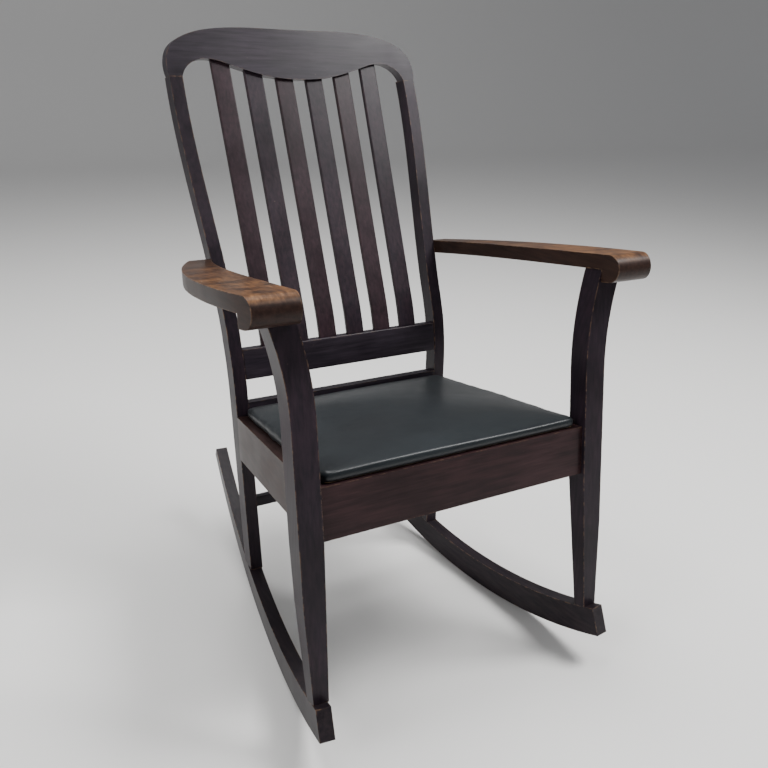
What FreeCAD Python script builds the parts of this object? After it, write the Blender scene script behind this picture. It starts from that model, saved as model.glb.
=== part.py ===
import FreeCAD, Part
import math
import os

# A wooden rocking armchair with a leather slip seat.
# Millimetres.  Inside this file x runs to the sitter's left, y from the front
# faces of the front posts to the back, and z up along the front posts.  At the
# end the whole chair leans back onto the part of its rockers that carries it.

V = FreeCAD.Vector
X, Y, Z = V(1, 0, 0), V(0, 1, 0), V(0, 0, 1)

SIZES = [
    ("seat_half", 240.0, "centre to the inner face of a front post"),
    ("post_wide", 38.4, "front post, side to side"),
    ("post_deep", 38.0, "front post, front to back"),
    ("post_foot_wide", 24.7, "front post at its foot, side to side"),
    ("post_foot_deep", 25.0, "front post at its foot, front to back"),
    ("post_foot_set", 8.0, "inner face of the foot outside that of the post"),
    ("post_foot_high", 71.0, "level at which the foot has its own section"),
    ("post_taper_high", 230.0, "where the outer face starts to taper"),
    ("flare_start", 500.0, "where the front posts start to curve out"),
    ("flare_inner", 27.0, "how far the inner face curves out"),
    ("flare_outer", 30.0, "how far the outer face curves out"),
    ("rail_top", 404.8, "top of the seat rails"),
    ("rail_high", 82.1, "seat rail height"),
    ("rail_thick", 22.0, "seat rail thickness"),
    ("rail_recess", 7.1, "front rail behind the posts' front faces"),
    ("side_rail_set", 10.0, "side rail's outer face outside the post's inner face, front end"),
    ("back_rail_rise", 25.0, "back seat rail above the other rails"),
    ("back_foot", 436.4, "front face of the back post, carried down to z 0"),
    ("waist", 401.0, "front face of the back post above the seat"),
    ("waist_high", 440.0, "level of the waist"),
    ("bend", 403.2, "front face in the middle of the bend"),
    ("bend_high", 528.5, "level of the middle of the bend"),
    ("bend_end", 419.4, "front face at the end of the bend"),
    ("bend_end_high", 600.0, "level of the end of the bend"),
    ("recline", 0.2869, "slope of the back above the bend"),
    ("back_inner_foot", 186.6, "centre to the back post's inner face at z 0"),
    ("back_splay", 0.0295, "how fast the back posts spread, per mm of height"),
    ("back_straight_high", 540.0, "level where the posts start to bow out"),
    ("back_bow_low", 209.0, "inner face at the first bow level"),
    ("back_bow_mid", 221.0, "inner face at the second bow level"),
    ("back_bow_top", 225.5, "inner face under the crest rail"),
    ("back_post_wide", 23.4, "back post, side to side"),
    ("back_post_deep", 32.5, "back post, along y"),
    ("crest_low", 1003.0, "shoulders of the crest rail on the posts"),
    ("crest_top", 1092.0, "top of the crest rail"),
    ("crest_deep", 26.0, "crest rail, along y"),
    ("crest_mid_drop", 2.0, "centre of the lower edge below the shoulders"),
    ("crest_arch", 31.0, "arches of the lower edge above the shoulders"),
    ("low_rail_bottom", 472.9, "lower back rail, bottom"),
    ("low_rail_high", 55.6, "lower back rail, height"),
    ("slat_wide", 35.0, "back slat, width"),
    ("slat_thick", 9.0, "back slat, thickness"),
    ("slat_setback", 6.0, "back slat behind the posts' front faces"),
    ("slat_pitch_top", 60.5, "spacing of the slats at the top"),
    ("slat_pitch_low", 58.0, "spacing of the slats at the bottom"),
    ("slat_top_tenon", 47.0, "slat end above the crest shoulders"),
    ("slat_low_tenon", 20.0, "slat end in the lower rail"),
    ("stretcher_mid", 225.0, "rear stretcher, centre level"),
    ("stretcher_high", 20.0, "rear stretcher, height"),
    ("stretcher_deep", 18.0, "rear stretcher, along y"),
    ("arm_top", 688.0, "top of the arms"),
    ("arm_thick", 24.0, "arm thickness"),
    ("knuckle_drop", 20.0, "front roll of the arm below its underside"),
    ("knuckle_reach", 38.0, "front roll ahead of the front post"),
    ("arm_front_outer", 98.0, "arm's outer edge outside the post's inner face, front"),
    ("arm_wide_outer", 104.0, "arm's outer edge outside the post's inner face, widest"),
    ("arm_back_outer", 34.0, "arm's outer edge outside the back post, rear"),
    ("arm_inner", 26.0, "arm's inner edge outside the post's inner face, front"),
    ("arm_back_lap", 6.0, "arm in front of the back post, rear"),
    ("arm_past_post", 16.0, "arm's rear end behind the back post's front face"),
    ("rocker_radius", 831.3, "radius of the rocker's running edge"),
    ("rocker_high", 49.4, "rocker height at the front"),
    ("rocker_tail_high", 25.0, "rocker height at its rear end"),
    ("rocker_thick", 23.9, "rocker thickness"),
    ("rocker_front", -29.7, "front end of the running edge"),
    ("rocker_rear", 741.0, "rear end of the running edge"),
    ("rocker_low", 179.0, "where the running edge is square to the posts"),
    ("lean", 8.0, "how far the chair leans back at rest, degrees"),
    ("cushion_front_gap", 7.0, "cushion to the front posts"),
    ("cushion_set", 16.0, "cushion edge inside the side rail's outer face"),
    ("cushion_front", 10.0, "cushion front edge"),
    ("cushion_back_gap", 1.0, "cushion to the back posts"),
    ("cushion_crown", 37.0, "cushion middle above the rails"),
    ("cushion_radius", 3000.0, "radius of the crown"),
    ("cushion_corner", 14.0, "radius of the cushion's corners"),
    ("leather_thick", 1.5, "leather"),
    ("leather_margin", 22.0, "leather turned under the seat frame"),
    ("soft_gap", 0.3, "clearance round soft pieces"),
    ("edge_padding", 2.0, "padding wrapped round the seat frame's edges"),
    ("frame_wide", 45.0, "seat frame board, width"),
    ("frame_thick", 10.0, "seat frame board, thickness"),
    ("web_wide", 50.0, "webbing width"),
    ("web_thick", 1.0, "webbing thickness"),
    ("web_lap", 26.0, "webbing on the frame boards"),
    ("dust_thick", 0.6, "dust cover thickness"),
    ("tenon_thick", 8.0, "rail tenon thickness"),
    ("tenon_long", 14.0, "rail tenon length"),
    ("side_tenon_long", 10.0, "side rail tenon length"),
    ("tenon_shoulder", 16.0, "tenon below and above the rail's edges"),
    ("tenon_lay", 13.0, "back tenons behind the posts' front faces"),
    ("arm_tenon_radius", 8.0, "round tenon on a front post"),
    ("arm_tenon_high", 16.0, "round tenon height"),
    ("fit_gap", 0.1, "clearance round a tenon"),
    ("block_leg", 55.0, "corner block, along each rail"),
    ("block_high", 25.0, "corner block height"),
    ("block_drop", 8.0, "corner block below the rail top"),
    ("screw_radius", 2.0, "wood screw shank"),
    ("screw_head", 4.0, "wood screw head radius"),
    ("screw_head_high", 2.4, "wood screw head height"),
    ("screw_grip", 12.0, "screw length in the second piece"),
    ("tack_radius", 0.9, "tack shank"),
    ("tack_head", 2.6, "tack head radius"),
    ("tack_head_high", 0.7, "tack head height"),
    ("tack_long", 7.0, "tack length"),
    ("dowel_radius", 5.0, "dowel between leg and rocker"),
    ("dowel_half", 28.0, "dowel length on each side of the joint"),
]

doc = FreeCAD.newDocument("RockingChair")
sheet = doc.addObject("Spreadsheet::Sheet", "Sizes")
for row, (alias, value, note) in enumerate(SIZES, 1):
    sheet.set(f"A{row}", note)
    sheet.set(f"B{row}", str(value))
    sheet.setAlias(f"B{row}", alias)
doc.recompute()


def size(alias):
    return float(sheet.get(alias))


def lines(points):
    return [Part.makeLine(a, b) for a, b in zip(points, points[1:]) if (a - b).Length > 1e-6]


def curve(points):
    spline = Part.BSplineCurve()
    spline.interpolate(points)
    return spline.toShape()


def arc(start, middle, end):
    return Part.Arc(start, middle, end).toShape()


def closed(edges):
    return Part.Face(Part.Wire(Part.__sortEdges__(edges)))


def prism(edges, along, start, end):
    face = closed(edges)
    face.translate(along * start)
    return face.extrude(along * (end - start))


def slab(low, high):
    wide = 2000.0
    return Part.makeBox(2 * wide, 2 * wide, high - low, V(-wide, -wide, low))


def block(x0, x1, y0, y1, z0, z1):
    return Part.makeBox(x1 - x0, y1 - y0, z1 - z0, V(x0, y0, z0))


def mirrored(shape):
    return shape.mirror(V(0, 0, 0), X)


def both(shape):
    return [shape, mirrored(shape)]


def largest(shape):
    return max(shape.Solids, key=lambda solid: solid.Volume)


# ---------------------------------------------------------------- back curve

def back_front_y(level):
    """Front face of a back post below the bend."""
    slope = (size("waist") - size("back_foot")) / size("waist_high")
    return size("back_foot") + slope * level


def back_line(shift, top):
    """The side view of the back posts' front faces, moved back by shift."""
    base = V(0, size("back_foot") + shift, 0)
    waist = V(0, size("waist") + shift, size("waist_high"))
    bend = V(0, size("bend") + shift, size("bend_high"))
    bend_end = V(0, size("bend_end") + shift, size("bend_end_high"))
    rise = top - size("bend_end_high")
    tip = bend_end + V(0, rise * size("recline"), rise)
    return [Part.makeLine(base, waist), arc(waist, bend, bend_end), Part.makeLine(bend_end, tip)], base, tip


def back_band(near, far, low, high, half=600.0):
    """Everything between two copies of the back line, from low to high."""
    front, front_base, front_tip = back_line(near, size("crest_top") + 50)
    rear, rear_base, rear_tip = back_line(far, size("crest_top") + 50)
    edges = front + rear + [Part.makeLine(front_base, rear_base), Part.makeLine(front_tip, rear_tip)]
    return prism(edges, X, -half, half).common(slab(low, high))


def back_inner_x(level):
    """Inner face of a back post below the bow."""
    return size("back_inner_foot") + size("back_splay") * level


def back_side_edges(shift, low, high):
    """The front view of the back post's inner face, moved out by shift."""
    start = V(back_inner_x(low) + shift, 0, low)
    straight = V(back_inner_x(size("back_straight_high")) + shift, 0, size("back_straight_high"))
    gap = (high - size("back_straight_high")) / 3
    bow = [
        straight,
        V(size("back_bow_low") + shift, 0, straight.z + gap),
        V(size("back_bow_mid") + shift, 0, straight.z + 2 * gap),
        V(size("back_bow_top") + shift, 0, high),
    ]
    return [Part.makeLine(start, straight), curve(bow)], start, bow[-1]


def back_post_front(inner_shift, outer_shift):
    top = size("crest_low")
    inner, inner_low, inner_top = back_side_edges(inner_shift, 0, top)
    outer, outer_low, outer_top = back_side_edges(outer_shift, 0, top)
    edges = inner + outer + [Part.makeLine(inner_low, outer_low), Part.makeLine(inner_top, outer_top)]
    return prism(edges, Y, 0, 900)


# ------------------------------------------------------------------- rockers

def foot_inner_x():
    return size("seat_half") + size("post_foot_set")


def feet():
    """Middles of the front and back posts' feet, where they stand on the rocker."""
    front = V(foot_inner_x() + size("post_foot_wide") / 2, size("post_foot_deep") / 2, 0)
    level = size("rocker_high") + 35
    x = back_inner_x(level) + size("back_post_wide") / 2
    return front, V(x, back_front_y(level) + size("back_post_deep") / 2, 0)


def toe_in():
    """Angle of each rocker towards the centre line: it runs under both feet."""
    front, back = feet()
    return math.atan2(front.x - back.x, back.y - front.y)


def rocker_place():
    front, back = feet()
    angle = toe_in()
    middle_x = front.x + (front.y - size("rocker_front")) * math.tan(angle)
    inner_x = middle_x - size("rocker_thick") / 2 / math.cos(angle)
    return FreeCAD.Placement(V(inner_x, size("rocker_front"), 0), FreeCAD.Rotation(Z, math.degrees(angle)))


def rocker_point(angle, radius):
    """A point of the rocker's side view, at an angle from its lowest point."""
    centre = (size("rocker_low") - size("rocker_front")) / math.cos(toe_in())
    return V(0, centre + radius * math.sin(angle), size("rocker_radius") - radius * math.cos(angle))


def rocker_angles():
    cosine = math.cos(toe_in())
    ahead = (size("rocker_front") - size("rocker_low")) / cosine
    behind = (size("rocker_rear") - size("rocker_low")) / cosine
    return math.asin(ahead / size("rocker_radius")), math.asin(behind / size("rocker_radius"))


def rocker_top_edge():
    front, rear = rocker_angles()
    inside = size("rocker_radius") - size("rocker_high")
    tail = size("rocker_radius") - size("rocker_tail_high")
    start, middle, end = rocker_point(front, inside), rocker_point(0.1, inside), rocker_point(rear, tail)
    return arc(start, middle, end), start, end


def rocker_blank():
    front, rear = rocker_angles()
    outside = size("rocker_radius")
    top, top_front, top_rear = rocker_top_edge()
    low_front, low_rear = rocker_point(front, outside), rocker_point(rear, outside)
    bottom = arc(low_front, rocker_point((front + rear) / 2, outside), low_rear)
    edges = [top, bottom, Part.makeLine(low_front, top_front), Part.makeLine(low_rear, top_rear)]
    shape = prism(edges, X, 0, size("rocker_thick"))
    shape.Placement = rocker_place()
    return shape


def under_rocker_top():
    """Everything below the rocker's top edge, to cut the legs' feet."""
    top, front, rear = rocker_top_edge()
    deep = -200.0
    corners = [front, V(0, front.y, deep), V(0, rear.y, deep), rear]
    shape = prism([top] + lines(corners), X, -100, 100)
    shape.Placement = rocker_place()
    return shape


def rocker_top_level(x, y):
    """Level of the rocker's top edge at a place."""
    probe = Part.makeLine(V(x, y, -100), V(x, y, 300))
    return rocker_blank().common(probe).BoundBox.ZMax


def dowels(grow=0.0):
    shapes = []
    for foot in feet():
        x, y = foot.x, foot.y
        level = rocker_top_level(x, y)
        half = size("dowel_half") + grow
        shapes.append(Part.makeCylinder(size("dowel_radius") + grow, 2 * half, V(x, y, level - half), Z))
    return shapes


# --------------------------------------------------------------------- posts

def arm_underside():
    return size("arm_top") - size("arm_thick")


def post_centre_top():
    inner = size("seat_half") + size("flare_inner")
    outer = size("seat_half") + size("post_wide") + size("flare_outer")
    return V((inner + outer) / 2, size("post_deep") / 2, arm_underside())


def arm_tenon(grow=0.0):
    centre = post_centre_top()
    return Part.makeCylinder(size("arm_tenon_radius") + grow, size("arm_tenon_high") + grow, centre, Z)


def post_face(side, flare, foot, taper_level):
    """One long edge of the front post's front view, from the foot up."""
    top = arm_underside()
    start, middle = size("flare_start"), (size("flare_start") + top) / 2
    slope = (side - foot) / (taper_level - size("post_foot_high"))
    toe = V(foot - slope * size("post_foot_high"), 0, 0)
    straight = V(side, 0, start)
    tip = V(side + flare, 0, top)
    edges = lines([toe, V(side, 0, taper_level), straight])
    edges.append(arc(straight, V(side + flare / 4, 0, middle), tip))
    return edges, toe, tip


def front_post_right():
    rail_low = size("rail_top") - size("rail_high")
    inner_face = size("seat_half")
    outer_face = inner_face + size("post_wide")
    foot_inner = foot_inner_x()
    foot_outer = foot_inner + size("post_foot_wide")
    inner, inner_toe, inner_tip = post_face(inner_face, size("flare_inner"), foot_inner, rail_low)
    outer, outer_toe, outer_tip = post_face(outer_face, size("flare_outer"), foot_outer, size("post_taper_high"))
    front_view = prism(
        inner + outer + [Part.makeLine(inner_toe, outer_toe), Part.makeLine(inner_tip, outer_tip)], Y, 0, 200
    )
    deep, foot_deep, top = size("post_deep"), size("post_foot_deep"), arm_underside()
    slope = (deep - foot_deep) / (rail_low - size("post_foot_high"))
    toe_deep = foot_deep - slope * size("post_foot_high")
    corners = [V(0, 0, 0), V(0, toe_deep, 0), V(0, deep, rail_low), V(0, deep, top), V(0, 0, top), V(0, 0, 0)]
    shape = front_view.common(prism(lines(corners), X, 0, 600)).fuse(arm_tenon())
    gap = size("fit_gap")
    tools = [under_rocker_top(), front_rail_tenon(gap), side_rail_front_tenon(gap)] + dowels(gap)
    return shape.cut(tools)


def back_post_right():
    shape = back_post_front(0, size("back_post_wide")).common(
        back_band(0, size("back_post_deep"), 0, size("crest_low"))
    )
    gap = size("fit_gap")
    tools = [
        under_rocker_top(),
        back_rail_tenons(gap),
        low_rail_tenons(gap),
        stretcher_tenons(gap),
        side_rail_back_tenon(gap),
        arm_screw(),
    ]
    return shape.fuse(crest_tenon()).cut(tools + dowels(gap))


def crest_tenon(grow=0.0):
    """Tenon on top of a back post."""
    low = size("crest_low")
    wide, deep = size("tenon_long"), size("tenon_lay")
    inset = (size("back_post_wide") - wide) / 2
    front = size("bend_end") + (low - size("bend_end_high")) * size("recline")
    x0 = size("back_bow_top") + inset
    y0 = front + size("slat_setback") + 2
    return block(x0 - grow, x0 + wide + grow, y0 - grow, y0 + deep + grow, low - 4, low + 22 + grow)


# --------------------------------------------------------------------- rails

def rail_low():
    return size("rail_top") - size("rail_high")


def tenon_levels(low, high, grow):
    shoulder = size("tenon_shoulder")
    return low + shoulder - grow, high - shoulder + grow


def front_rail_tenon(grow=0.0):
    """Right-hand tenon of the front seat rail."""
    z0, z1 = tenon_levels(rail_low(), size("rail_top"), grow)
    y0 = size("rail_recess") + 4
    x1 = size("seat_half") + size("tenon_long")
    thick = size("tenon_thick")
    return block(size("seat_half") - 5, x1 + grow, y0 - grow, y0 + thick + grow, z0, z1)


def seat_rail_front():
    y0 = size("rail_recess")
    rail = block(-size("seat_half"), size("seat_half"), y0, y0 + size("rail_thick"), rail_low(), size("rail_top"))
    tools = block_screws() + [mirrored(screw) for screw in block_screws()]
    return rail.fuse(both(front_rail_tenon())).removeSplitter().cut(tools)


def side_rail_x(y, inset=0.0):
    """Outer face of a side rail: from the front post to the back post's outer face."""
    front = size("seat_half") + size("side_rail_set")
    back = back_inner_x(size("rail_top")) + size("back_post_wide")
    run = back_front_y(size("rail_top")) - size("post_deep")
    return front + (back - front) * (y - size("post_deep")) / run - inset


def side_rail_front_tenon(grow=0.0):
    z0, z1 = tenon_levels(rail_low(), size("rail_top"), grow)
    x1 = side_rail_x(size("post_deep")) - 1
    y0, y1 = size("post_deep") - size("side_tenon_long"), size("post_deep") + 5
    return block(x1 - size("tenon_thick") - grow, x1 + grow, y0 - grow, y1, z0, z1)


def side_rail_back_tenon(grow=0.0):
    z0, z1 = tenon_levels(rail_low(), size("rail_top"), grow)
    middle = side_rail_x(back_front_y(size("rail_top")), size("rail_thick") / 2)
    half = size("tenon_thick") / 2 + grow
    band = back_band(-6, size("side_tenon_long") + grow, z0, z1)
    return band.common(block(middle - half, middle + half, 300, 600, z0, z1))


def seat_rail_right():
    y0, y1 = size("post_deep"), size("back_foot") + 50
    thick = size("rail_thick")
    corners = [
        V(side_rail_x(y0), y0, 0),
        V(side_rail_x(y1), y1, 0),
        V(side_rail_x(y1, thick), y1, 0),
        V(side_rail_x(y0, thick), y0, 0),
        V(side_rail_x(y0), y0, 0),
    ]
    rail = prism(lines(corners), Z, rail_low(), size("rail_top"))
    rail = rail.cut(back_band(0, 300, 0, size("waist_high")))
    rail = rail.fuse([side_rail_front_tenon(), side_rail_back_tenon()]).removeSplitter()
    return rail.cut(block_screws())


def between_back_posts(low, high):
    """The room between the posts' inner faces where they are straight."""
    corners = [
        V(-back_inner_x(low), 0, low),
        V(back_inner_x(low), 0, low),
        V(back_inner_x(high), 0, high),
        V(-back_inner_x(high), 0, high),
        V(-back_inner_x(low), 0, low),
    ]
    return prism(lines(corners), Y, 0, 900)


def back_tenons(near, far, low, high, long, grow):
    """Tenons from a back rail's two ends into the back posts."""
    reach = back_inner_x((low + high) / 2) + long + grow
    band = back_band(near - grow, far + grow, low - grow, high + grow)
    return band.common(block(-reach, reach, 0, 900, low - grow, high + grow))


def back_rail_tenons(grow=0.0):
    near = size("tenon_lay")
    z0, z1 = tenon_levels(rail_low(), size("rail_top"), 0)
    return back_tenons(near, near + 7, z0, z1, size("tenon_long"), grow)


def seat_rail_back():
    top = size("rail_top") + size("back_rail_rise")
    rail = back_band(0, size("rail_thick"), rail_low(), top).common(between_back_posts(rail_low(), top))
    tools = block_screws() + [mirrored(screw) for screw in block_screws()]
    return rail.fuse(back_rail_tenons()).removeSplitter().cut(tools)


def low_rail_levels():
    return size("low_rail_bottom"), size("low_rail_bottom") + size("low_rail_high")


def low_rail_tenons(grow=0.0):
    low, high = low_rail_levels()
    near = size("slat_setback")
    return back_tenons(near, near + size("tenon_thick"), low + 8, high - 8, size("tenon_long"), grow)


def lower_back_rail():
    low, high = low_rail_levels()
    rail = back_band(0, size("rail_thick"), low, high).common(between_back_posts(low, high))
    rail = rail.fuse(low_rail_tenons()).removeSplitter()
    return rail.cut([slat(place, size("fit_gap")) for place in slat_places()])


def stretcher_tenons(grow=0.0):
    half = size("stretcher_high") / 2 - 3
    mid = size("stretcher_mid")
    return back_tenons(11, 21, mid - half, mid + half, size("tenon_long"), grow)


def rear_stretcher():
    half, mid = size("stretcher_high") / 2, size("stretcher_mid")
    near = (size("back_post_deep") - size("stretcher_deep")) / 2
    band = back_band(near, near + size("stretcher_deep"), mid - half, mid + half)
    bar = band.common(between_back_posts(mid - half, mid + half))
    return bar.fuse(stretcher_tenons()).removeSplitter()


# ---------------------------------------------------------------------- back

def slat_places():
    return [-2.5, -1.5, -0.5, 0.5, 1.5, 2.5]


def slat(place, grow=0.0):
    half = size("slat_wide") / 2 + grow
    low = low_rail_levels()[1] - size("slat_low_tenon") - grow
    high = size("crest_low") + size("slat_top_tenon") + grow
    foot, head = place * size("slat_pitch_low"), place * size("slat_pitch_top")
    corners = [V(foot - half, 0, low), V(foot + half, 0, low), V(head + half, 0, high), V(head - half, 0, high)]
    front_view = prism(lines(corners + corners[:1]), Y, 0, 900)
    near = size("slat_setback")
    return front_view.common(back_band(near - grow, near + size("slat_thick") + grow, low, high))


def crest_rail():
    low, top = size("crest_low"), size("crest_top")
    outer = size("back_bow_top") + size("back_post_wide")
    inner = size("back_bow_top")
    arch, mid = low + size("crest_arch"), low - size("crest_mid_drop")
    upper = [
        V(outer, 0, low),
        V(outer + 0.5, 0, top - 57),
        V(outer - 8, 0, top - 38),
        V(outer - 38, 0, top - 17),
        V(outer - 106, 0, top - 2),
    ]
    upper += [V(0, 0, top)] + [V(-p.x, 0, p.z) for p in reversed(upper)]
    lower = [
        V(inner, 0, low),
        V(inner - 18, 0, arch - 8),
        V(inner - 38, 0, arch),
        V(inner - 92, 0, arch - 9),
        V(inner - 163, 0, mid + 5),
    ]
    lower += [V(0, 0, mid)] + [V(-p.x, 0, p.z) for p in reversed(lower)]
    shoulders = [Part.makeLine(V(s * inner, 0, low), V(s * outer, 0, low)) for s in (1, -1)]
    front_view = prism([curve(upper), curve(lower)] + shoulders, Y, 0, 900)
    blank = front_view.common(back_band(0, size("crest_deep"), low - 20, top + 5))
    gap = size("fit_gap")
    return blank.cut([slat(place, gap) for place in slat_places()] + both(crest_tenon(gap)))


# ---------------------------------------------------------------------- arms

def post_front_y_at(level):
    return size("bend_end") + (level - size("bend_end_high")) * size("recline")


def arm_right():
    top, under = size("arm_top"), arm_underside()
    drop = under - size("knuckle_drop")
    roll = (top - drop) / 2
    nose = -size("knuckle_reach")
    rear = post_front_y_at(top) + size("arm_past_post")
    round_end = arc(V(0, nose + roll, top), V(0, nose, top - roll), V(0, nose + roll, drop))
    side_points = [V(0, nose + roll, drop), V(0, 0, drop), V(0, 0, under), V(0, rear, under), V(0, rear, top)]
    side_view = prism([round_end] + lines(side_points + [V(0, nose + roll, top)]), X, 0, 600)
    inner_front = size("seat_half") + size("arm_inner")
    back_outer = size("back_bow_low") + size("back_post_wide")
    inner_back = back_outer - size("arm_back_lap")
    inner = [
        V(inner_front, nose, 0),
        V(inner_front - 1, 120, 0),
        V(inner_front - 5, 250, 0),
        V(inner_back + 22, 370, 0),
        V(inner_back, rear, 0),
    ]
    wide = size("seat_half") + size("arm_wide_outer")
    outer = [
        V(size("seat_half") + size("arm_front_outer") - 4, nose, 0),
        V(wide - 2, 30, 0),
        V(wide, 110, 0),
        V(wide - 11, 250, 0),
        V(wide - 40, 370, 0),
        V(back_outer + size("arm_back_outer"), rear, 0),
    ]
    plan = prism(
        [curve(inner), curve(outer), Part.makeLine(inner[0], outer[0]), Part.makeLine(inner[-1], outer[-1])],
        Z, drop - 10, top + 10,
    )
    notch = back_post_front(-60, size("back_post_wide")).common(back_band(0, 200, under - 30, top + 30))
    return side_view.common(plan).cut([notch, arm_tenon(size("fit_gap")), arm_screw()])


def screw(start, direction, long):
    """A wood screw: start is the underside of its head."""
    head = Part.makeCylinder(size("screw_head"), size("screw_head_high"), start, direction * -1)
    return Part.makeCylinder(size("screw_radius"), long, start, direction).fuse(head).removeSplitter()


def arm_screw():
    """From inside the back post into the end of the arm, its head let in."""
    level = size("arm_top") - size("arm_thick") / 2
    y = post_front_y_at(level) + size("arm_past_post") / 2
    return screw(V(size("back_bow_low") + size("screw_head_high") + 1, y, level), X, size("back_post_wide") + 12)


# ------------------------------------------------------------- corner blocks

def block_levels():
    high = size("rail_top") - size("block_drop")
    return high - size("block_high"), high


def block_corner(y, into):
    """Plan of a corner block: its corner at y, running into the seat."""
    leg = size("block_leg")
    corner = V(side_rail_x(y, size("rail_thick")), y, 0)
    far_y = y + into * leg
    return [corner, corner - V(leg, 0, 0), V(side_rail_x(far_y, size("rail_thick")), far_y, 0)]


def block_fronts():
    """Where the front and rear blocks stand: (y, direction into the seat)."""
    front = size("rail_recess") + size("rail_thick")
    return [(front, 1), (back_front_y(block_levels()[0]), -1)]


def corner_block(place):
    low, high = block_levels()
    y, into = block_fronts()[place]
    corners = block_corner(y, into)
    shape = prism(lines(corners + corners[:1]), Z, low, high)
    shape = shape.cut(back_band(0, 200, 0, size("waist_high")))
    return largest(shape.cut(block_screws() + [seat_screw(place)]))


def seat_screw(place):
    y, into = block_fronts()[place]
    x = side_rail_x(y, size("rail_thick")) - 0.33 * size("block_leg")
    low = block_levels()[0]
    frame_low = cushion_base() + size("leather_thick") + size("soft_gap")
    return screw(V(x, y + into * 0.33 * size("block_leg"), low), Z, frame_low + 0.8 * size("frame_thick") - low)


def block_screws():
    """Two screws in each right-hand corner block, one into each rail."""
    low, high = block_levels()
    shapes = []
    leg = size("block_leg")
    for y, into in block_fronts():
        corner = side_rail_x(y, size("rail_thick"))
        into_rail = 0.4 * leg
        start = V(corner - 0.6 * leg, y + into * into_rail, low + 0.35 * (high - low))
        shapes.append(screw(start, V(0, -into, 0), into_rail + size("screw_grip")))
        y_side = y + into * 0.62 * leg
        x_side = side_rail_x(y_side, size("rail_thick"))
        start = V(x_side - into_rail + 3, y_side, low + 0.7 * (high - low))
        shapes.append(screw(start, X, into_rail - 3 + size("screw_grip")))
    return shapes


# ---------------------------------------------------------------------- seat

def cushion_base():
    return size("rail_top") + size("soft_gap")


def cushion_halves():
    """Half widths of the cushion at its front and rear edges."""
    front = size("seat_half") - size("cushion_front_gap")
    return front, side_rail_x(size("waist")) - size("cushion_set")


def cushion_prism(inset, low, high):
    y0 = size("cushion_front") + inset
    y1 = size("waist") - size("cushion_back_gap") - inset
    front, back = cushion_halves()[0] - inset, cushion_halves()[1] - inset
    corners = [V(-front, y0, 0), V(front, y0, 0), V(back, y1, 0), V(-back, y1, 0), V(-front, y0, 0)]
    shape = prism(lines(corners), Z, low, high)
    upright = [e for e in shape.Edges if abs(e.tangentAt(e.FirstParameter).z) > 0.9]
    return shape.makeFillet(size("cushion_corner") - inset, upright)


def crowned(inset, low):
    crown = size("rail_top") + size("cushion_crown")
    radius = size("cushion_radius")
    middle = (size("cushion_front") + size("waist") - size("cushion_back_gap")) / 2
    ball = Part.makeSphere(radius - inset, V(0, middle, crown - radius))
    return cushion_prism(inset, low, crown + 5).common(ball)


def frame_levels():
    low = cushion_base() + size("leather_thick") + size("soft_gap")
    return low, low + size("frame_thick")


def web_levels():
    low = frame_levels()[1]
    return low, low + size("web_thick"), low + 2 * size("web_thick")


def padding_inset():
    return size("leather_thick") + size("soft_gap")


def frame_inset():
    return padding_inset() + size("edge_padding")


def frame_split():
    """Where the front and back frame boards end: two levels of y."""
    front = size("cushion_front") + frame_inset() + size("frame_wide")
    back = size("waist") - size("cushion_back_gap") - frame_inset() - size("frame_wide")
    return front, back


def seat_screws():
    return both(seat_screw(0)) + both(seat_screw(1))


def seat_fixings():
    return seat_screws() + tacks()


def seat_frame(which):
    low, high = frame_levels()
    whole = cushion_prism(frame_inset(), low, high)
    front, back = frame_split()
    if which == "front":
        return whole.common(block(-400, 400, 0, front, low, high)).cut(seat_fixings())
    if which == "back":
        return whole.common(block(-400, 400, back, 600, low, high)).cut(seat_fixings())
    inside = cushion_prism_straight(frame_inset() + size("frame_wide"), low, high)
    sides = whole.common(block(0, 400, front, back, low, high)).cut(inside)
    right = largest(sides).cut(seat_fixings())
    return right if which == "right" else mirrored(right)


def cushion_prism_straight(inset, low, high):
    """The cushion's plan drawn in only at its sides."""
    y0, y1 = size("cushion_front"), size("waist") - size("cushion_back_gap")
    front, back = cushion_halves()[0] - inset, cushion_halves()[1] - inset
    corners = [V(-front, y0, 0), V(front, y0, 0), V(back, y1, 0), V(-back, y1, 0), V(-front, y0, 0)]
    return prism(lines(corners), Z, low, high)


def web_reach():
    """Where the lengthwise webbing starts and ends."""
    front, back = frame_split()
    lap = size("web_lap")
    return front - lap, back + lap


def cross_webs():
    """Strips from side to side: (y, half length)."""
    front, back = frame_split()
    slope = (cushion_halves()[0] - cushion_halves()[1]) / (
        size("waist") - size("cushion_back_gap") - size("cushion_front")
    )
    inner = size("frame_wide") + frame_inset() - size("web_lap")
    places = []
    for part in (0.18, 0.5, 0.82):
        y = front + part * (back - front)
        half = cushion_halves()[0] - slope * (y - size("cushion_front")) - inner
        places.append((y, half - 3))
    return places


def long_webs():
    """Strips from front to back: their x."""
    spacing = 1.7 * size("web_wide")
    return [-1.5 * spacing, -0.5 * spacing, 0.5 * spacing, 1.5 * spacing]


def webbing_crosswise():
    low, middle, _ = web_levels()
    half = size("web_wide") / 2
    strips = [block(-reach, reach, y - half, y + half, low, middle) for y, reach in cross_webs()]
    return Part.makeCompound([strip.cut(tacks()) for strip in strips])


def webbing_lengthwise():
    _, middle, high = web_levels()
    half = size("web_wide") / 2
    y0, y1 = web_reach()
    strips = [block(x - half, x + half, y0, y1, middle, high) for x in long_webs()]
    return Part.makeCompound([strip.cut(tacks()) for strip in strips])


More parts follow.
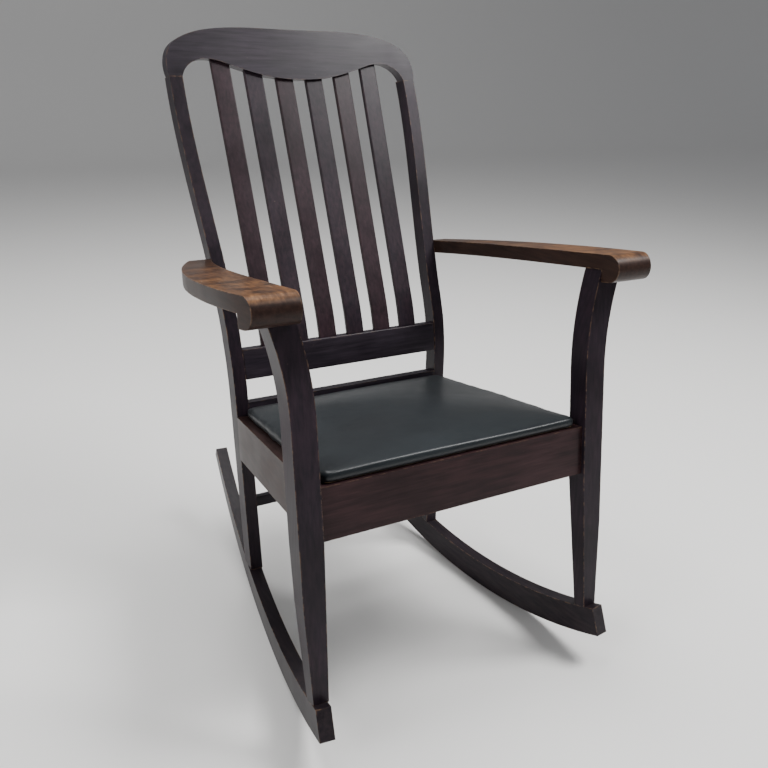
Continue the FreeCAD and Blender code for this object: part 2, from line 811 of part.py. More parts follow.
def tack(x, y, level):
    """A tack driven down: level is the underside of its head."""
    shank = Part.makeCylinder(size("tack_radius"), size("tack_long"), V(x, y, level), Z * -1)
    head = Part.makeCylinder(size("tack_head"), size("tack_head_high"), V(x, y, level), Z)
    return shank.fuse(head).removeSplitter()


def tacks():
    _, middle, high = web_levels()
    spread = size("web_wide") / 4
    edge = 8
    shapes = []
    for y, reach in cross_webs():
        for x in (-reach + edge, reach - edge):
            shapes += [tack(x, y - spread, middle), tack(x, y + spread, middle)]
    y0, y1 = web_reach()
    for x in long_webs():
        for y in (y0 + edge, y1 - edge):
            shapes += [tack(x - spread, y, high), tack(x + spread, y, high)]
    return shapes


def seat_padding():
    return crowned(padding_inset(), web_levels()[2] + size("tack_head_high") + size("soft_gap"))


def seat_leather():
    low = cushion_base()
    thick = size("leather_thick")
    inside = crowned(thick, low + thick)
    opening = cushion_prism_straight(size("leather_margin"), low - 1, low + thick + 1)
    margin = size("leather_margin")
    y0, y1 = size("cushion_front") + margin, size("waist") - size("cushion_back_gap") - margin
    opening = opening.common(block(-400, 400, y0, y1, low - 1, low + thick + 1))
    return crowned(0, low).cut([inside, opening] + seat_screws())


def dust_cover():
    """Fabric over the opening of the turned-in leather."""
    inset = size("leather_margin") + 2 * size("soft_gap")
    high = frame_levels()[0]
    sheet_shape = cushion_prism_straight(inset, high - size("dust_thick"), high)
    y0, y1 = size("cushion_front") + inset, size("waist") - size("cushion_back_gap") - inset
    sheet_shape = sheet_shape.common(block(-400, 400, y0, y1, high - 5, high + 5))
    return sheet_shape.cut(seat_screws())


# ------------------------------------------------------------------ assembly

def rocker_right():
    return rocker_blank().cut(dowels(size("fit_gap")))


def at_rest():
    """Lean the chair back and stand its rockers on the floor, centred."""
    angle = math.radians(size("lean"))
    toe = toe_in()
    radius = size("rocker_radius")
    low_y = size("rocker_low") + size("rocker_thick") * math.sin(toe)
    dip = radius * math.sqrt(math.cos(angle) ** 2 + (math.cos(toe) * math.sin(angle)) ** 2)
    lowest = radius * math.cos(angle) - dip - low_y * math.sin(angle)
    turn = FreeCAD.Rotation(X, -size("lean"))
    ys = [turn.multVec(vertex.Point).y for vertex in rocker_blank().Vertexes]
    return FreeCAD.Placement(V(0, -(min(ys) + max(ys)) / 2, -lowest), turn)


REST = at_rest()


def add(label, shape):
    piece = doc.addObject("Part::Feature", label)
    piece.Label = label
    piece.Shape = shape
    piece.Placement = REST.multiply(piece.Placement)
    return piece


def add_pair(name, shape):
    return [add(name + "_right", shape), add(name + "_left", mirrored(shape))]


def build():
    pieces = []
    pieces += add_pair("rocker", rocker_right())
    pieces += add_pair("front_post", front_post_right())
    pieces += add_pair("back_post", back_post_right())
    pieces += add_pair("arm", arm_right())
    pieces += add_pair("seat_rail", seat_rail_right())
    pieces.append(add("seat_rail_front", seat_rail_front()))
    pieces.append(add("seat_rail_back", seat_rail_back()))
    pieces.append(add("lower_back_rail", lower_back_rail()))
    pieces.append(add("rear_stretcher", rear_stretcher()))
    pieces.append(add("crest_rail", crest_rail()))
    for number, place in enumerate(slat_places(), 1):
        pieces.append(add(f"back_slat_{number}", slat(place)))
    pieces += add_pair("corner_block_front", corner_block(0))
    pieces += add_pair("corner_block_back", corner_block(1))
    block_set = block_screws() + [mirrored(s) for s in block_screws()]
    pieces.append(add("corner_block_screws", Part.makeCompound(block_set)))
    pieces.append(add("seat_screws", Part.makeCompound(seat_screws())))
    pieces.append(add("arm_screws", Part.makeCompound(both(arm_screw()))))
    dowel_set = dowels() + [mirrored(d) for d in dowels()]
    pieces.append(add("rocker_dowels", Part.makeCompound(dowel_set)))
    for which in ("front", "back", "left", "right"):
        pieces.append(add("seat_frame_" + which, seat_frame(which)))
    pieces.append(add("webbing_crosswise", webbing_crosswise()))
    pieces.append(add("webbing_lengthwise", webbing_lengthwise()))
    pieces.append(add("webbing_tacks", Part.makeCompound(tacks())))
    pieces.append(add("seat_padding", seat_padding()))
    pieces.append(add("seat_leather", seat_leather()))
    pieces.append(add("dust_cover", dust_cover()))
    return pieces


def check_and_write(pieces):
    doc.recompute()
    for thing in doc.Objects:
        if "Invalid" in thing.State or "Error" in thing.State:
            raise RuntimeError(f"{thing.Label} failed: {thing.State}")
    for piece in pieces:
        if piece.Shape.isNull() or not piece.Shape.isValid() or not piece.Shape.Solids:
            raise RuntimeError(f"{piece.Label} has no valid shape")
    os.makedirs("parts", exist_ok=True)
    for piece in pieces:
        piece.Shape.exportStep(f"parts/{piece.Label}.step")


check_and_write(build())
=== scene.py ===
import math

import bmesh
import bpy
from mathutils import Euler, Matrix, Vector


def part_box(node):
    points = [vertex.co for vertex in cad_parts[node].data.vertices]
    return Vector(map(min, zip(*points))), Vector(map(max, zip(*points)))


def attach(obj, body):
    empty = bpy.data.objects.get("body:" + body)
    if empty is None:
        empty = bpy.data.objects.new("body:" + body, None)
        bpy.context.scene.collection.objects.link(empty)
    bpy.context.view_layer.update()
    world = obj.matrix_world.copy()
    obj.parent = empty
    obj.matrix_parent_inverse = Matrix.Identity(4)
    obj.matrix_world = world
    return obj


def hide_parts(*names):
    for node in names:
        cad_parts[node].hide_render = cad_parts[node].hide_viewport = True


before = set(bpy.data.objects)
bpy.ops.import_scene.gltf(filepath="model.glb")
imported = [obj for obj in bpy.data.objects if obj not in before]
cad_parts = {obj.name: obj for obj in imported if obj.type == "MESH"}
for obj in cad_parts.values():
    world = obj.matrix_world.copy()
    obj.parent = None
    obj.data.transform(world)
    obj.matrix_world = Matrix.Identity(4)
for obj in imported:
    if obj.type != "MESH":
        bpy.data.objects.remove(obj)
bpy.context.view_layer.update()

# The camera's place in the frame, in metres and degrees.
CAMERA_AT = (-0.6583, -1.2167, 0.9904)
CAMERA_TURN = (68.252, -1.731, -28.940)
CAMERA_LENS = 38.146

LEAN = math.radians(8.0)          # how far the chair leans back at rest
CUSHION_FRONT_RISE = 0.016        # leather border above the front rail
CUSHION_ROLL = 0.007              # radius of the roll along the border
VOXEL = 0.006                     # mesh size of the leather
SWELL_CAP = 0.005                 # the most that the padding pushes the leather out
SWELL_FRAMES = 20                 # length of the cloth simulation
CROWN_RINGS = 14                  # rings of faces from the roll to the middle of the seat
COVER_CELLS = 24                  # cells of the dust cloth each way
COVER_SAG = 0.0025                # how far the dust cloth hangs in its middle
ALONG_GRAIN = 0.07                # how much noise is drawn out along the wood fibres
USUAL_EASE = 0.0025               # width of an eased edge, where EASED has no other


# ------------------------------------------------------------------ materials

def new_material(name):
    material = bpy.data.materials.new(name)
    material.use_nodes = True
    nodes, links = material.node_tree.nodes, material.node_tree.links
    shader = nodes["Principled BSDF"]
    return material, nodes, links, shader


def ramp(nodes, links, source, stops):
    node = nodes.new("ShaderNodeValToRGB")
    while len(node.color_ramp.elements) < len(stops):
        node.color_ramp.elements.new(0.5)
    for element, (place, colour) in zip(node.color_ramp.elements, stops):
        element.position = place
        element.color = (*colour, 1)
    links.new(source, node.inputs[0])
    return node.outputs[0]


def grey(value):
    return (value, value, value)


def mixed(nodes, links, factor, first, second, mode="MIX"):
    node = nodes.new("ShaderNodeMix")
    node.data_type = "RGBA"
    node.blend_type = mode
    sockets = (node.inputs[0], node.inputs[6], node.inputs[7])
    for socket, value in zip(sockets, (factor, first, second)):
        if hasattr(value, "is_linked"):
            links.new(value, socket)
        elif isinstance(value, tuple):
            socket.default_value = (*value, 1)
        else:
            socket.default_value = value
    return node.outputs[2]


def math_node(nodes, links, operation, first, second=0.0):
    node = nodes.new("ShaderNodeMath")
    node.operation = operation
    node.use_clamp = True
    for socket, value in zip(node.inputs, (first, second)):
        if hasattr(value, "is_linked"):
            links.new(value, socket)
        else:
            socket.default_value = value
    return node.outputs[0]


def noise(nodes, links, vector, scale, detail=4.0, roughness=0.55):
    node = nodes.new("ShaderNodeTexNoise")
    node.inputs["Scale"].default_value = scale
    node.inputs["Detail"].default_value = detail
    node.inputs["Roughness"].default_value = roughness
    links.new(vector, node.inputs["Vector"])
    return node.outputs["Fac"]


def bump(nodes, links, shader, height, strength, distance, before=None):
    node = nodes.new("ShaderNodeBump")
    node.inputs["Strength"].default_value = strength
    node.inputs["Distance"].default_value = distance
    links.new(height, node.inputs["Height"])
    if before is not None:
        links.new(before, node.inputs["Normal"])
    links.new(node.outputs[0], shader.inputs["Normal"])
    return node.outputs[0]


def along(nodes, links, grain, seed):
    """Coordinates squeezed along the grain, so that noise draws out into wood fibres."""
    coord = nodes.new("ShaderNodeTexCoord")
    mapping = nodes.new("ShaderNodeMapping")
    mapping.inputs["Location"].default_value = (seed * 1.7, seed * 0.9, seed * 2.3)
    mapping.inputs["Rotation"].default_value = (LEAN, 0, 0)
    mapping.inputs["Scale"].default_value = [ALONG_GRAIN if axis == grain else 1.0 for axis in "xyz"]
    links.new(coord.outputs["Object"], mapping.inputs["Vector"])
    return coord.outputs["Object"], mapping.outputs["Vector"]


def edge_mask(nodes, links, radius):
    """Near one on sharp edges, zero on flat faces."""
    rounded = nodes.new("ShaderNodeBevel")
    rounded.samples = 6
    rounded.inputs["Radius"].default_value = radius
    geometry = nodes.new("ShaderNodeNewGeometry")
    dot = nodes.new("ShaderNodeVectorMath")
    dot.operation = "DOT_PRODUCT"
    links.new(rounded.outputs[0], dot.inputs[0])
    links.new(geometry.outputs["True Normal"], dot.inputs[1])
    flat = math_node(nodes, links, "SUBTRACT", 1.0, dot.outputs["Value"])
    return math_node(nodes, links, "MULTIPLY", flat, 5.0)


def stained_wood(name, grain, dark, light, cast, seed, wear_and_highlight=0.5, rough=0.34):
    """Dark stained wood: fibres, pores, cloudy stain, edges lightened as wear and as a painted
    highlight, and a satin finish.
    """
    material, nodes, links, shader = new_material(name)
    whole, fibres = along(nodes, links, grain, seed)
    fibre = noise(nodes, links, fibres, 190.0, 6.0, 0.62)
    bands = noise(nodes, links, fibres, 38.0, 3.0)
    clouds = noise(nodes, links, whole, 7.0, 3.0)
    body = ramp(nodes, links, fibre, [(0.32, dark), (0.68, light)])
    body = mixed(nodes, links, math_node(nodes, links, "MULTIPLY", bands, 0.55), body, cast)
    shade = ramp(nodes, links, clouds, [(0.3, grey(0.62)), (0.7, grey(1.25))])
    body = mixed(nodes, links, 1.0, body, shade, "MULTIPLY")
    # Edges turn towards a pale bare-wood brown in patches: partly real wear, partly a painted
    # highlight along the edges.
    edge = edge_mask(nodes, links, 0.0035)
    edge_patches = noise(nodes, links, whole, 95.0, 5.0, 0.7)
    edge_patches = ramp(nodes, links, edge_patches, [(0.46, grey(0)), (0.62, grey(1))])
    edge_wear_and_highlight = math_node(nodes, links, "MULTIPLY", edge, edge_patches)
    edge_wear_and_highlight = math_node(nodes, links, "MULTIPLY", edge_wear_and_highlight, wear_and_highlight)
    body = mixed(nodes, links, edge_wear_and_highlight, body, (0.19, 0.115, 0.07))
    scuffs = noise(nodes, links, whole, 260.0, 2.0, 0.8)
    scuffs = ramp(nodes, links, scuffs, [(0.70, grey(0)), (0.76, grey(1))])
    rare = noise(nodes, links, whole, 22.0, 2.0)
    rare = ramp(nodes, links, rare, [(0.55, grey(0)), (0.68, grey(1))])
    scuff = math_node(nodes, links, "MULTIPLY", scuffs, rare)
    scuff = math_node(nodes, links, "MULTIPLY", scuff, 0.5)
    body = mixed(nodes, links, scuff, body, (0.20, 0.14, 0.10))
    links.new(body, shader.inputs["Base Color"])
    gloss = ramp(nodes, links, clouds, [(0.25, grey(rough - 0.07)), (0.75, grey(rough + 0.14))])
    links.new(gloss, shader.inputs["Roughness"])
    shader.inputs["Specular IOR Level"].default_value = 0.13
    shader.inputs["Coat Weight"].default_value = 0.02
    shader.inputs["Coat Roughness"].default_value = 0.22
    bump(nodes, links, shader, fibre, 0.22, 0.0006)
    return material


def arm_wood(name, front_y, back_y, seed):
    """Arm: stained like the rest, its top rubbed golden brown, most of all at the front roll."""
    stain = ((0.014, 0.008, 0.007), (0.040, 0.021, 0.016), (0.024, 0.012, 0.009))
    material = stained_wood(name, "y", *stain, seed, wear_and_highlight=0.9)
    nodes, links = material.node_tree.nodes, material.node_tree.links
    shader = nodes["Principled BSDF"]
    before = shader.inputs["Base Color"].links[0].from_socket
    coord = nodes.new("ShaderNodeTexCoord")
    split = nodes.new("ShaderNodeSeparateXYZ")
    links.new(coord.outputs["Object"], split.inputs[0])
    reach = nodes.new("ShaderNodeMapRange")
    reach.inputs["From Min"].default_value = back_y
    reach.inputs["From Max"].default_value = front_y
    reach.inputs["To Min"].default_value = 0.12
    reach.inputs["To Max"].default_value = 1.0
    links.new(split.outputs["Y"], reach.inputs["Value"])
    geometry = nodes.new("ShaderNodeNewGeometry")
    facing = nodes.new("ShaderNodeSeparateXYZ")
    links.new(geometry.outputs["Normal"], facing.inputs[0])
    upward = ramp(nodes, links, facing.outputs["Z"], [(0.55, grey(0)), (0.93, grey(1))])
    patches = noise(nodes, links, coord.outputs["Object"], 24.0, 5.0, 0.65)
    blotch = ramp(nodes, links, patches, [(0.36, grey(0.1)), (0.62, grey(1))])
    fibres = along(nodes, links, "y", seed + 3)[1]
    fibre = noise(nodes, links, fibres, 230.0, 5.0, 0.6)
    tan = ramp(nodes, links, fibre, [(0.3, (0.075, 0.032, 0.014)), (0.7, (0.26, 0.125, 0.052))])
    mask = math_node(nodes, links, "MULTIPLY", upward, reach.outputs["Result"])
    mask = math_node(nodes, links, "MULTIPLY", mask, blotch)
    links.new(mixed(nodes, links, mask, before, tan), shader.inputs["Base Color"])
    return material


def raw_wood(name, grain, seed):
    bare = ((0.26, 0.16, 0.085), (0.45, 0.30, 0.17), (0.33, 0.21, 0.12))
    return stained_wood(name, grain, *bare, seed, wear_and_highlight=0.2, rough=0.6)


def leather(name):
    """Black leather with a cold tint: fine pebble grain, soft creases and a worn satin sheen."""
    material, nodes, links, shader = new_material(name)
    coord = nodes.new("ShaderNodeTexCoord")
    vector = coord.outputs["Object"]
    cells = nodes.new("ShaderNodeTexVoronoi")
    cells.feature = "DISTANCE_TO_EDGE"
    cells.inputs["Scale"].default_value = 850.0
    links.new(vector, cells.inputs["Vector"])
    grain = ramp(nodes, links, cells.outputs["Distance"], [(0.0, grey(0)), (0.16, grey(1))])
    fine = noise(nodes, links, vector, 1500.0, 3.0)
    clouds = noise(nodes, links, vector, 9.0, 4.0)
    waves = noise(nodes, links, vector, 22.0, 2.0)
    dyes = [(0.3, (0.0026, 0.0037, 0.0048)), (0.72, (0.007, 0.0105, 0.013))]
    body = ramp(nodes, links, clouds, dyes)
    faint = math_node(nodes, links, "MULTIPLY", grain, 0.25)
    body = mixed(nodes, links, faint, body, (0.016, 0.022, 0.026))
    edge = edge_mask(nodes, links, 0.006)
    rubbed = math_node(nodes, links, "MULTIPLY", edge, 0.2)
    body = mixed(nodes, links, rubbed, body, (0.05, 0.055, 0.06))
    links.new(body, shader.inputs["Base Color"])
    gloss = ramp(nodes, links, clouds, [(0.25, grey(0.27)), (0.75, grey(0.40))])
    links.new(gloss, shader.inputs["Roughness"])
    shader.inputs["Specular IOR Level"].default_value = 0.30
    shader.inputs["Coat Weight"].default_value = 0.10
    shader.inputs["Coat Roughness"].default_value = 0.30
    shader.inputs["Sheen Weight"].default_value = 0.05
    pebbles = bump(nodes, links, shader, grain, 0.16, 0.0003)
    soft = bump(nodes, links, shader, waves, 0.16, 0.004, pebbles)
    bump(nodes, links, shader, fine, 0.05, 0.0002, soft)
    return material


def cloth(name, first, second, scale):
    """Plain weave from two crossing waves."""
    material, nodes, links, shader = new_material(name)
    coord = nodes.new("ShaderNodeTexCoord")
    threads = []
    for axis in ("X", "Y"):
        wave = nodes.new("ShaderNodeTexWave")
        wave.bands_direction = axis
        wave.inputs["Scale"].default_value = scale
        wave.inputs["Distortion"].default_value = 0.6
        links.new(coord.outputs["Object"], wave.inputs["Vector"])
        threads.append(wave.outputs["Fac"])
    weave = math_node(nodes, links, "MULTIPLY", *threads)
    clouds = noise(nodes, links, coord.outputs["Object"], 14.0)
    body = ramp(nodes, links, weave, [(0.1, first), (0.8, second)])
    shade = ramp(nodes, links, clouds, [(0.3, grey(0.8)), (0.7, grey(1.1))])
    body = mixed(nodes, links, 1.0, body, shade, "MULTIPLY")
    links.new(body, shader.inputs["Base Color"])
    shader.inputs["Roughness"].default_value = 0.92
    shader.inputs["Sheen Weight"].default_value = 0.25
    bump(nodes, links, shader, weave, 0.4, 0.0006)
    return material


def steel(name):
    material, nodes, links, shader = new_material(name)
    coord = nodes.new("ShaderNodeTexCoord")
    spots = noise(nodes, links, coord.outputs["Object"], 420.0, 4.0)
    body = ramp(nodes, links, spots, [(0.35, (0.13, 0.11, 0.09)), (0.65, (0.42, 0.39, 0.35))])
    links.new(body, shader.inputs["Base Color"])
    gloss = ramp(nodes, links, spots, [(0.3, grey(0.35)), (0.7, grey(0.6))])
    links.new(gloss, shader.inputs["Roughness"])
    shader.inputs["Metallic"].default_value = 1.0
    bump(nodes, links, shader, spots, 0.1, 0.0003)
    return material


# --------------------------------------------------------------- CAD surfaces

BLACK = (0.0095, 0.007, 0.009)
COLD = (0.015, 0.0125, 0.020)
PLUM = (0.028, 0.016, 0.022)
# Each stain: the dark and the light of its fibres, and the cast over them.
POST_STAIN = (BLACK, PLUM, COLD)
CROSS_STAIN = (BLACK, (0.031, 0.023, 0.030), COLD)
ROCKER_STAIN = (BLACK, (0.030, 0.021, 0.022), COLD)
COLD_SLAT = (BLACK, (0.034, 0.019, 0.024), COLD)
WARM_SLAT = (BLACK, (0.034, 0.019, 0.024), (0.026, 0.012, 0.016))
FRONT_STAIN = ((0.013, 0.007, 0.008), (0.040, 0.019, 0.020), (0.026, 0.012, 0.014))
SIDE_STAIN = ((0.012, 0.007, 0.007), (0.038, 0.020, 0.018), (0.022, 0.011, 0.010))


def wood_for(node, seed):
    """The stain of each wooden piece and the way its grain runs."""
    name = "wood_" + node
    if node.startswith("arm_"):
        low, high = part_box(node)
        return arm_wood(name, low[1], high[1], seed)
    if node == "rocker_dowels":
        return raw_wood(name, "z", seed)
    if node.startswith(("corner_block", "seat_frame")):
        return raw_wood(name, "x", seed)
    if node == "seat_rail_front":
        return stained_wood(name, "x", *FRONT_STAIN, seed)
    if node in ("seat_rail_left", "seat_rail_right"):
        return stained_wood(name, "y", *SIDE_STAIN, seed)
    if node.startswith("rocker"):
        return stained_wood(name, "y", *ROCKER_STAIN, seed, wear_and_highlight=0.95)
    if node.startswith("back_slat"):
        stain = COLD_SLAT if seed % 2 else WARM_SLAT
        return stained_wood(name, "z", *stain, seed, wear_and_highlight=0.35)
    if node in ("crest_rail", "lower_back_rail", "seat_rail_back", "rear_stretcher"):
        return stained_wood(name, "x", *CROSS_STAIN, seed, wear_and_highlight=0.45)
    return stained_wood(name, "z", *POST_STAIN, seed, wear_and_highlight=0.8)


def soften(thing, width):
    """Ease the piece's sharp edges and shade its curves smoothly."""
    weld = thing.modifiers.new("weld", "WELD")
    weld.merge_threshold = 0.00002
    ease = thing.modifiers.new("eased_edges", "BEVEL")
    ease.width = width
    ease.segments = 3
    ease.limit_method = "ANGLE"
    ease.angle_limit = math.radians(38)
    ease.harden_normals = False
    ease.miter_outer = "MITER_ARC"
    thing.modifiers.new("smooth", "WEIGHTED_NORMAL").keep_sharp = True


# Widths of the eased edges, by the start of the node's name.
EASED = {
    "arm_": 0.004,
    "crest_rail": 0.0025,
    "back_slat": 0.002,
    "rocker_left": 0.003,
    "rocker_right": 0.003,
}


def dress_cad():
    fabric = {
        "webbing_crosswise": cloth("jute_cross", (0.20, 0.13, 0.06), (0.55, 0.42, 0.25), 260.0),
        "webbing_lengthwise": cloth("jute_long", (0.20, 0.13, 0.06), (0.55, 0.42, 0.25), 260.0),
    }
    metal = steel("old_steel")
    for seed, (node, thing) in enumerate(sorted(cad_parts.items()), 1):
        if node in fabric:
            material = fabric[node]
        elif node.endswith(("screws", "tacks")):
            material = metal
        elif node in ("seat_leather", "seat_padding", "dust_cover"):
            continue
        else:
            material = wood_for(node, seed)
            width = next((w for start, w in EASED.items() if node.startswith(start)), USUAL_EASE)
            soften(thing, width)
        thing.data.materials.clear()
        thing.data.materials.append(material)


# ------------------------------------------------------------------- the seat

def rest_frame():
    """Axes along the leaning chair: side, seat depth and up through the seat."""
    side = Vector((1, 0, 0))
    deep = Vector((0, math.cos(LEAN), -math.sin(LEAN)))
    rise = Vector((0, math.sin(LEAN), math.cos(LEAN)))
    return side, deep, rise


def seat_numbers():
    """The leather's size along the leaning chair, from its CAD solid."""
    side, deep, rise = rest_frame()
    points = [Vector(v.co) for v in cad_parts["seat_leather"].data.vertices]
    depth = [p.dot(deep) for p in points]
    height = [p.dot(rise) for p in points]
    low, front, back = min(height), min(depth), max(depth)
    near = [abs(p.x) for p, d in zip(points, depth) if d < front + 0.025]
    far = [abs(p.x) for p, d in zip(points, depth) if d > back - 0.025]
    return {
        "front": front, "back": back, "low": low, "high": max(height),
        "front_half": max(near), "back_half": max(far),
    }


def outline(size, inset, corner=0.016, steps=6, along_side=26):
    """The seat's plan as a ring of (x, depth), counter-clockwise from the front left."""
    def half_at(t):
        return size["front_half"] + (size["back_half"] - size["front_half"]) * t - inset
    front, back = size["front"] + inset, size["back"] - inset
    corners = [(-half_at(0), front), (half_at(0), front), (half_at(1), back), (-half_at(1), back)]
    radius = max(corner - inset, 0.004)
    ring = []
    for i, here in enumerate(corners):
        before, after = Vector(corners[i - 1]), Vector(corners[(i + 1) % 4])
        here = Vector(here)
        start = here + (before - here).normalized() * radius
        end = here + (after - here).normalized() * radius
        for k in range(steps + 1):
            t = k / steps
            ring.append(start * (1 - t) ** 2 + here * 2 * t * (1 - t) + end * t * t)
        next_start = after + (here - after).normalized() * radius
        for k in range(1, along_side):
            ring.append(end.lerp(next_start, k / along_side))
    return ring


def cushion_rings(size):
    """Rings from the underside, up the border and round the roll."""
    roll, border = CUSHION_ROLL, size["low"] + CUSHION_FRONT_RISE + 0.002
    low = size["low"]
    rings = [(0.0012, low), (0.0, low + 0.0015), (0.0, low + 0.006), (0.0, border - 0.006)]
    for k in range(1, 6):
        angle = k / 5 * math.pi / 2
        rings.append((roll * (1 - math.cos(angle)), border - 0.006 + roll * math.sin(angle)))
    return rings


def make_cushion():
    size = seat_numbers()
    side, deep, rise = rest_frame()
    mesh = bmesh.new()
    middle = Vector((0, (size["front"] + size["back"]) / 2))
    rings = []
    levels = cushion_rings(size)
    for inset, level in levels:
        plan = outline(size, inset)
        rings.append([mesh.verts.new(side * p.x + deep * p.y + rise * level) for p in plan])
    edge = outline(size, levels[-1][0])
    edge_level = levels[-1][1]
    crown_top = size["high"] - 0.004
    for k in range(1, CROWN_RINGS):
        t = k / CROWN_RINGS
        level = edge_level + (crown_top - edge_level) * (1 - (1 - t) ** 2.3)
        ring = [p.lerp(middle, t) for p in edge]
        rings.append([mesh.verts.new(side * p.x + deep * p.y + rise * level) for p in ring])
    for lower, upper in zip(rings, rings[1:]):
        count = len(lower)
        for i in range(count):
            j = (i + 1) % count
            mesh.faces.new((lower[i], lower[j], upper[j], upper[i]))
    top = mesh.verts.new(deep * middle.y + rise * crown_top)
    bottom = mesh.verts.new(deep * middle.y + rise * size["low"])
    for i in range(len(rings[0])):
        j = (i + 1) % len(rings[0])
        mesh.faces.new((rings[-1][i], rings[-1][j], top))
        mesh.faces.new((rings[0][j], rings[0][i], bottom))
    bmesh.ops.recalc_face_normals(mesh, faces=mesh.faces)
    data = bpy.data.meshes.new("seat_cushion")
    mesh.to_mesh(data)
    mesh.free()
    cushion = bpy.data.objects.new("seat_cushion", data)
    bpy.context.scene.collection.objects.link(cushion)
    swell(cushion, size, rise)
    finish_cushion(cushion, size, rise, deep)
    return cushion


def apply_all(thing):
    bpy.context.view_layer.update()
    graph = bpy.context.evaluated_depsgraph_get()
    applied = bpy.data.meshes.new_from_object(thing.evaluated_get(graph))
    thing.modifiers.clear()
    thing.data = applied


def swell(cushion, size, rise):
    """Let the padding press the leather out, held along its border and underside."""
    remesh = cushion.modifiers.new("even", "REMESH")
    remesh.mode = "VOXEL"
    remesh.voxel_size = VOXEL
    apply_all(cushion)
    start = [v.co.copy() for v in cushion.data.vertices]
    held = cushion.vertex_groups.new(name="held")
    limit = size["low"] + CUSHION_FRONT_RISE + 0.0035
    held.add([v.index for v in cushion.data.vertices if v.co.dot(rise) < limit], 1.0, "REPLACE")
    sim = cushion.modifiers.new("swell", "CLOTH")
    sim.settings.quality = 5
    sim.settings.mass = 0.4
    sim.settings.tension_stiffness = 18
    sim.settings.compression_stiffness = 12
    sim.settings.bending_stiffness = 1.2
    sim.settings.use_pressure = True
    sim.settings.uniform_pressure_force = 4.0
    sim.settings.effector_weights.gravity = 0
    sim.settings.vertex_group_mass = "held"
    sim.collision_settings.use_collision = False
    sim.point_cache.frame_start = 1
    sim.point_cache.frame_end = SWELL_FRAMES
    for step in range(1, SWELL_FRAMES + 1):
        bpy.context.scene.frame_set(step)
    apply_all(cushion)
    bpy.context.scene.frame_set(1)
    for vertex, old in zip(cushion.data.vertices, start):
        shift = vertex.co - old
        if shift.length > SWELL_CAP:
            vertex.co = old + shift.normalized() * SWELL_CAP


def finish_cushion(cushion, size, rise, deep):
    """A faint wave across the stretched leather, then one smooth subdivision."""
    span = size["back"] - size["front"]
    for vertex in cushion.data.vertices:
        height = vertex.co.dot(rise) - size["low"]
        if height < CUSHION_FRONT_RISE:
            continue
        u = vertex.co.x / size["front_half"]
        w = (vertex.co.dot(deep) - size["front"]) / span
        dip = 0.0012 * math.sin(5.2 * u + 2.0 * w) * math.sin(math.pi * w)
        dip += 0.0009 * math.sin(9.0 * w - 3.1 * u)
        vertex.co += rise * (dip - 0.0008)
    for face in cushion.data.polygons:
        face.use_smooth = True
    cushion.modifiers.new("smooth", "SUBSURF").levels = 1
    cushion.modifiers["smooth"].render_levels = 1
    apply_all(cushion)
    for face in cushion.data.polygons:
        face.use_smooth = True
    cushion.data.materials.append(leather("black_leather"))


def make_dust_cover():
    """Thin cloth under the seat, stretched between its tacked edges and sagging a little."""
    side, deep, rise = rest_frame()
    points = [Vector(v.co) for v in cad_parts["dust_cover"].data.vertices]
    level = min(p.dot(rise) for p in points)
    front, back = min(p.dot(deep) for p in points), max(p.dot(deep) for p in points)
    front_half = max(abs(p.x) for p in points if p.dot(deep) < front + 0.01)
    back_half = max(abs(p.x) for p in points if p.dot(deep) > back - 0.01)
    mesh = bmesh.new()
    grid = []
    for i in range(COVER_CELLS + 1):
        t = i / COVER_CELLS
        half = front_half + (back_half - front_half) * t
        row = []
        for j in range(COVER_CELLS + 1):
            u = -1 + 2 * j / COVER_CELLS
            sag = COVER_SAG * (1 - u ** 4) * (1 - (2 * t - 1) ** 4)
            place = side * (half * u) + deep * (front + (back - front) * t) + rise * (level - sag)
            row.append(mesh.verts.new(place))
        grid.append(row)
    for a, b in zip(grid, grid[1:]):
        for j in range(COVER_CELLS):
            mesh.faces.new((a[j], a[j + 1], b[j + 1], b[j]))
    for face in mesh.faces:
        face.smooth = True
    data = bpy.data.meshes.new("dust_cloth")
    mesh.to_mesh(data)
    mesh.free()
    cover = bpy.data.objects.new("dust_cloth", data)
    bpy.context.scene.collection.objects.link(cover)
    thick = cover.modifiers.new("thick", "SOLIDIFY")
    thick.thickness = 0.0006
    cambric = cloth("black_cambric", (0.012, 0.012, 0.013), (0.045, 0.045, 0.048), 420.0)
    data.materials.append(cambric)
    return cover, front_half + back_half, back - front


# ---------------------------------------------------------- floor, light, view

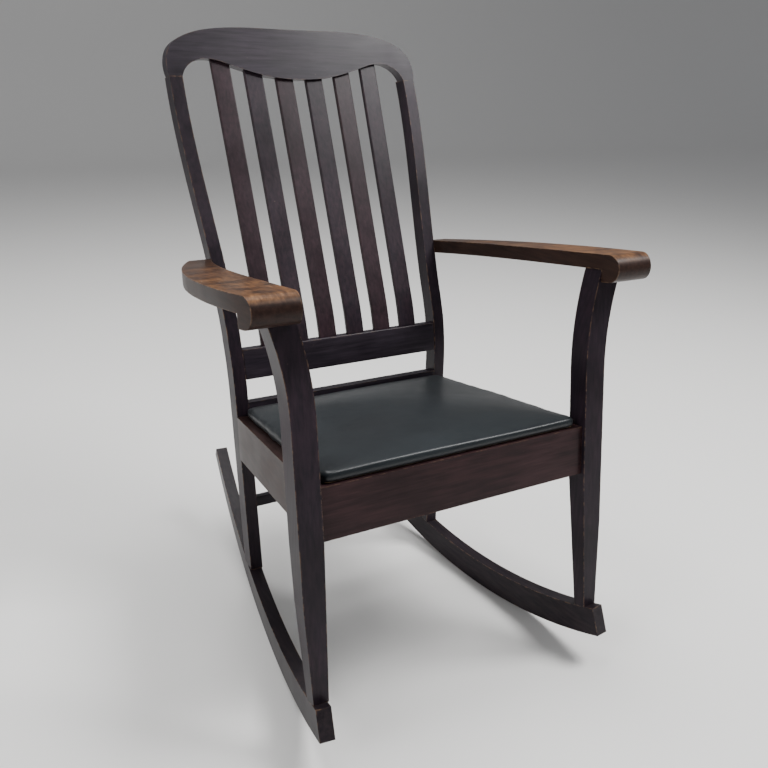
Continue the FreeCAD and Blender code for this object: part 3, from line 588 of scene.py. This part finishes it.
def make_floor():
    data = bpy.data.meshes.new("floor")
    reach, turn, high = 9.0, 2.5, 9.0
    profile = [(-reach, 0.0)]
    for k in range(13):
        angle = k / 12 * math.pi / 2
        profile.append((reach - turn + turn * math.sin(angle), turn - turn * math.cos(angle)))
    profile.append((reach, high))
    points = [(x, y, z) for y, z in profile for x in (-2 * reach, 2 * reach)]
    faces = [(2 * i, 2 * i + 1, 2 * i + 3, 2 * i + 2) for i in range(len(profile) - 1)]
    data.from_pydata(points, [], faces)
    for face in data.polygons:
        face.use_smooth = True
    floor = bpy.data.objects.new("floor", data)
    bpy.context.scene.collection.objects.link(floor)
    material, nodes, links, shader = new_material("pale_floor")
    shader.inputs["Base Color"].default_value = (0.82, 0.81, 0.79, 1)
    shader.inputs["Roughness"].default_value = 0.75
    data.materials.append(material)


def area_light(name, at, towards, size, power):
    data = bpy.data.lights.new(name, "AREA")
    data.shape = "SQUARE"
    data.size = size
    data.energy = power
    light = bpy.data.objects.new(name, data)
    light.location = at
    light.rotation_mode = "QUATERNION"
    light.rotation_quaternion = (Vector(towards) - Vector(at)).to_track_quat("-Z", "Y")
    bpy.context.scene.collection.objects.link(light)


def make_light():
    world = bpy.data.worlds.new("studio")
    world.use_nodes = True
    world.node_tree.nodes["Background"].inputs["Color"].default_value = (0.93, 0.95, 1.0, 1)
    world.node_tree.nodes["Background"].inputs["Strength"].default_value = 0.26
    bpy.context.scene.world = world
    target = (0, 0, 0.5)
    area_light("key", (1.7, -1.0, 3.0), target, 1.2, 130)
    area_light("fill", (-2.7, -0.6, 1.9), target, 1.8, 46)
    area_light("top", (-0.2, 0.9, 3.4), target, 2.0, 95)


def make_camera():
    data = bpy.data.cameras.new("camera")
    data.sensor_width = 36.0
    data.lens = CAMERA_LENS
    camera = bpy.data.objects.new("camera", data)
    camera.location = CAMERA_AT
    camera.rotation_euler = Euler([math.radians(a) for a in CAMERA_TURN], "XYZ")
    bpy.context.scene.collection.objects.link(camera)
    bpy.context.scene.camera = camera


# ------------------------------------------------------------------ put together

dress_cad()

cushion = make_cushion()
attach(cushion, "root")
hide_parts("seat_leather", "seat_padding")

dust, dust_wide, dust_long = make_dust_cover()
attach(dust, "root")
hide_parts("dust_cover")

make_floor()
make_light()
make_camera()
